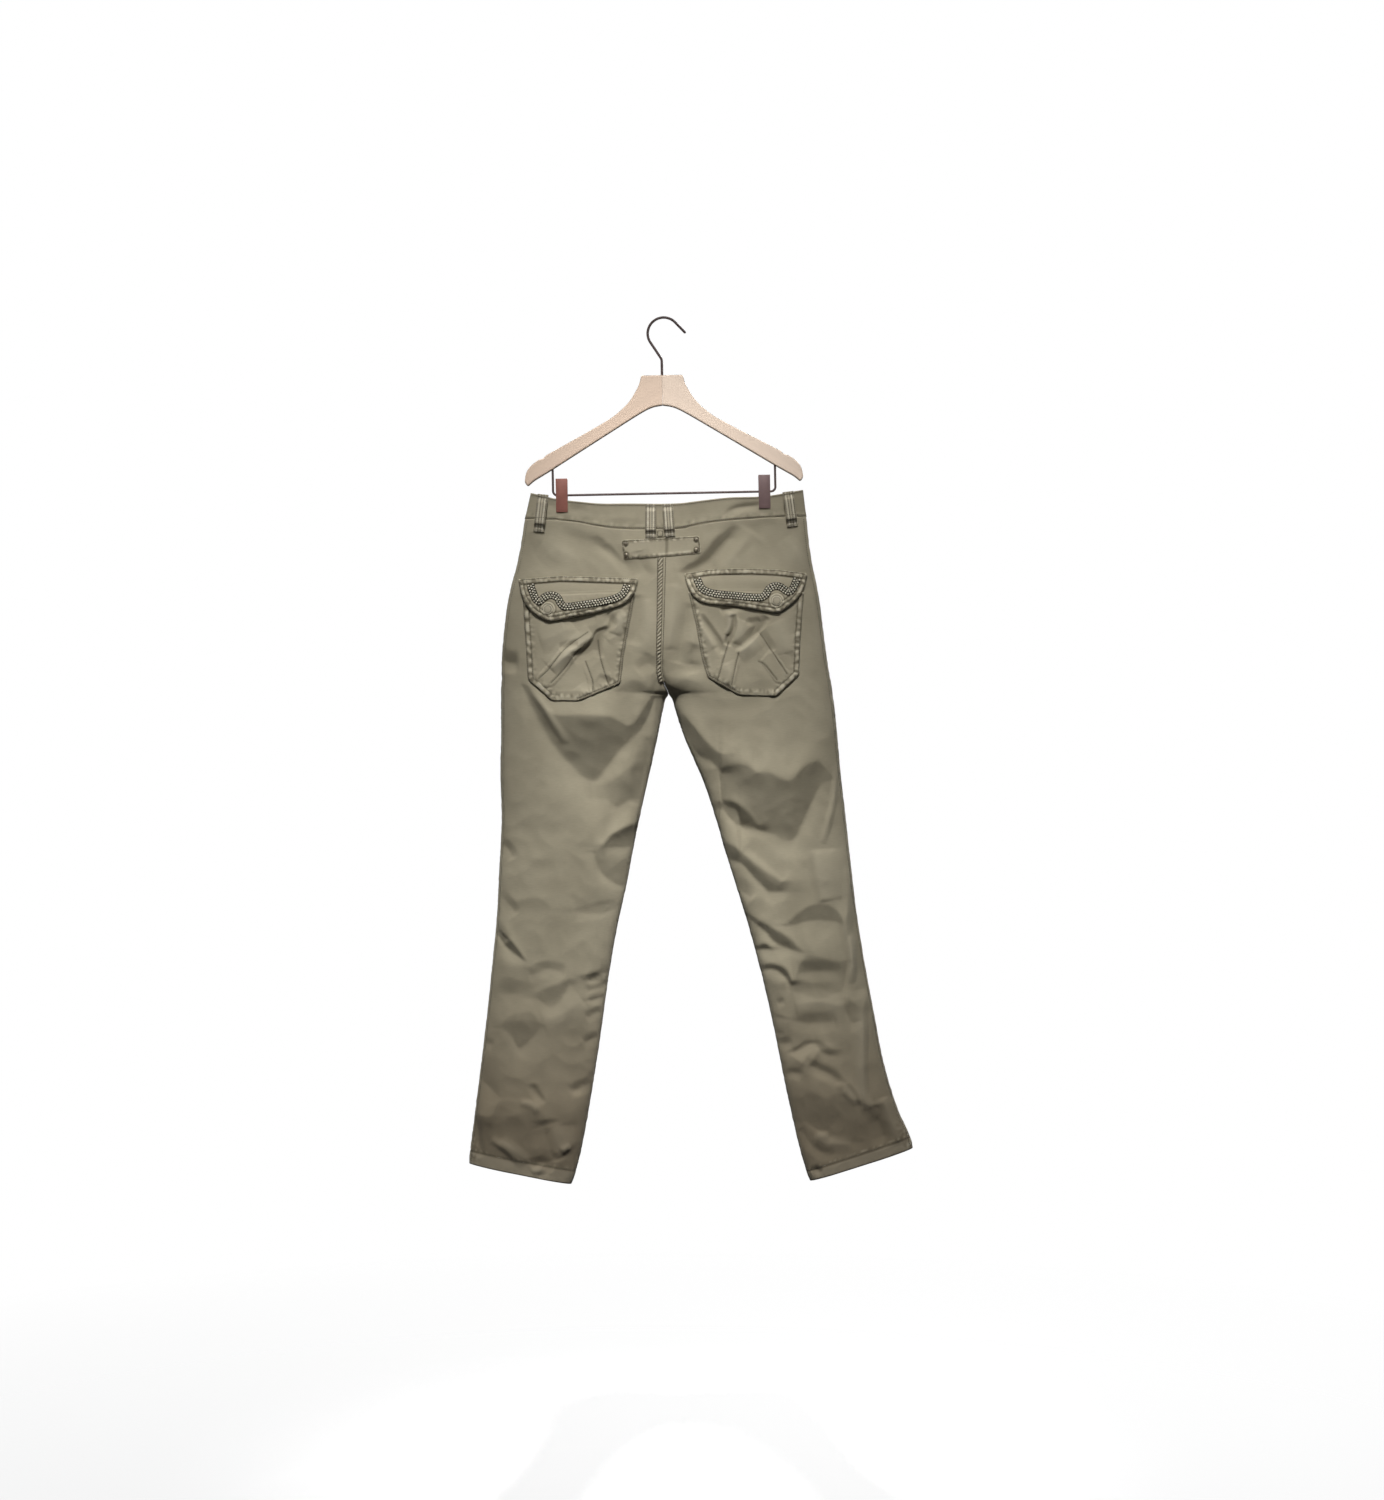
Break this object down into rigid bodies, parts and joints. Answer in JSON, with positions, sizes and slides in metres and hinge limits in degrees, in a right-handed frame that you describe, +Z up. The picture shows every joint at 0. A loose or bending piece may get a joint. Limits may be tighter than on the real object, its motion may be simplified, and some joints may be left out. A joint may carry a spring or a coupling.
{
  "type": "cargo trousers on a clip hanger",
  "caption": "Cargo trousers with flapped patch pockets on the seat, hung flat by the waistband from the clips of a wooden hanger.",
  "frame": {"origin": "inside top of the hanger's hook, where the rail carries it", "axes": "+Z up, -Y out of the trousers' back, +X to the wearer's right; the side seams and inseams lie in the plane y = 0"},
  "size_m": [0.687, 0.0698, 1.3439],
  "materials": {
    "cloth": "matt twill weave, olive khaki, worn lighter on edges",
    "cloth_light": "matt twill weave, olive khaki, more worn",
    "beech": "pale, satin",
    "dark_wire": "dark bronze plating",
    "clip_metal": "dark reddish brown, satin",
    "stud_metal": "dull, aged"
  },
  "bodies": {
    "root": {"arm_left": "beech", "clip_left_back_jaw": "clip_metal", "clip_left_front_jaw": "clip_metal", "clip_left_barrel": "clip_metal", "arm_right": "beech", "clip_right_back_jaw": "clip_metal", "clip_right_front_jaw": "clip_metal", "clip_right_barrel": "clip_metal", "hook": "dark_wire", "trouser_bar": "dark_wire", "back_left": "cloth", "front_left": "cloth", "waistband_front_left": "cloth", "pocket_left": "cloth", "flap_left": "cloth", "flap_button_left": "cloth_light", "back_right": "cloth", "front_right": "cloth", "waistband_front_right": "cloth", "pocket_right": "cloth", "flap_right": "cloth", "flap_button_right": "cloth_light", "waistband_back": "cloth", "back_tab": "cloth_light", "seam_band": "cloth_light", "loop_bridge": "cloth", "fly_placket": "cloth", "loop_back_outer_left": "cloth_light", "loop_back_centre_left": "cloth_light", "loop_back_centre_right": "cloth_light", "loop_back_outer_right": "cloth_light", "loop_front_left": "cloth_light", "loop_front_right": "cloth_light", "tab_stud_1": "stud_metal", "tab_stud_2": "stud_metal", "tab_stud_3": "stud_metal", "tab_stud_4": "stud_metal", "waist_button": "stud_metal"}
  },
  "joints": []
}
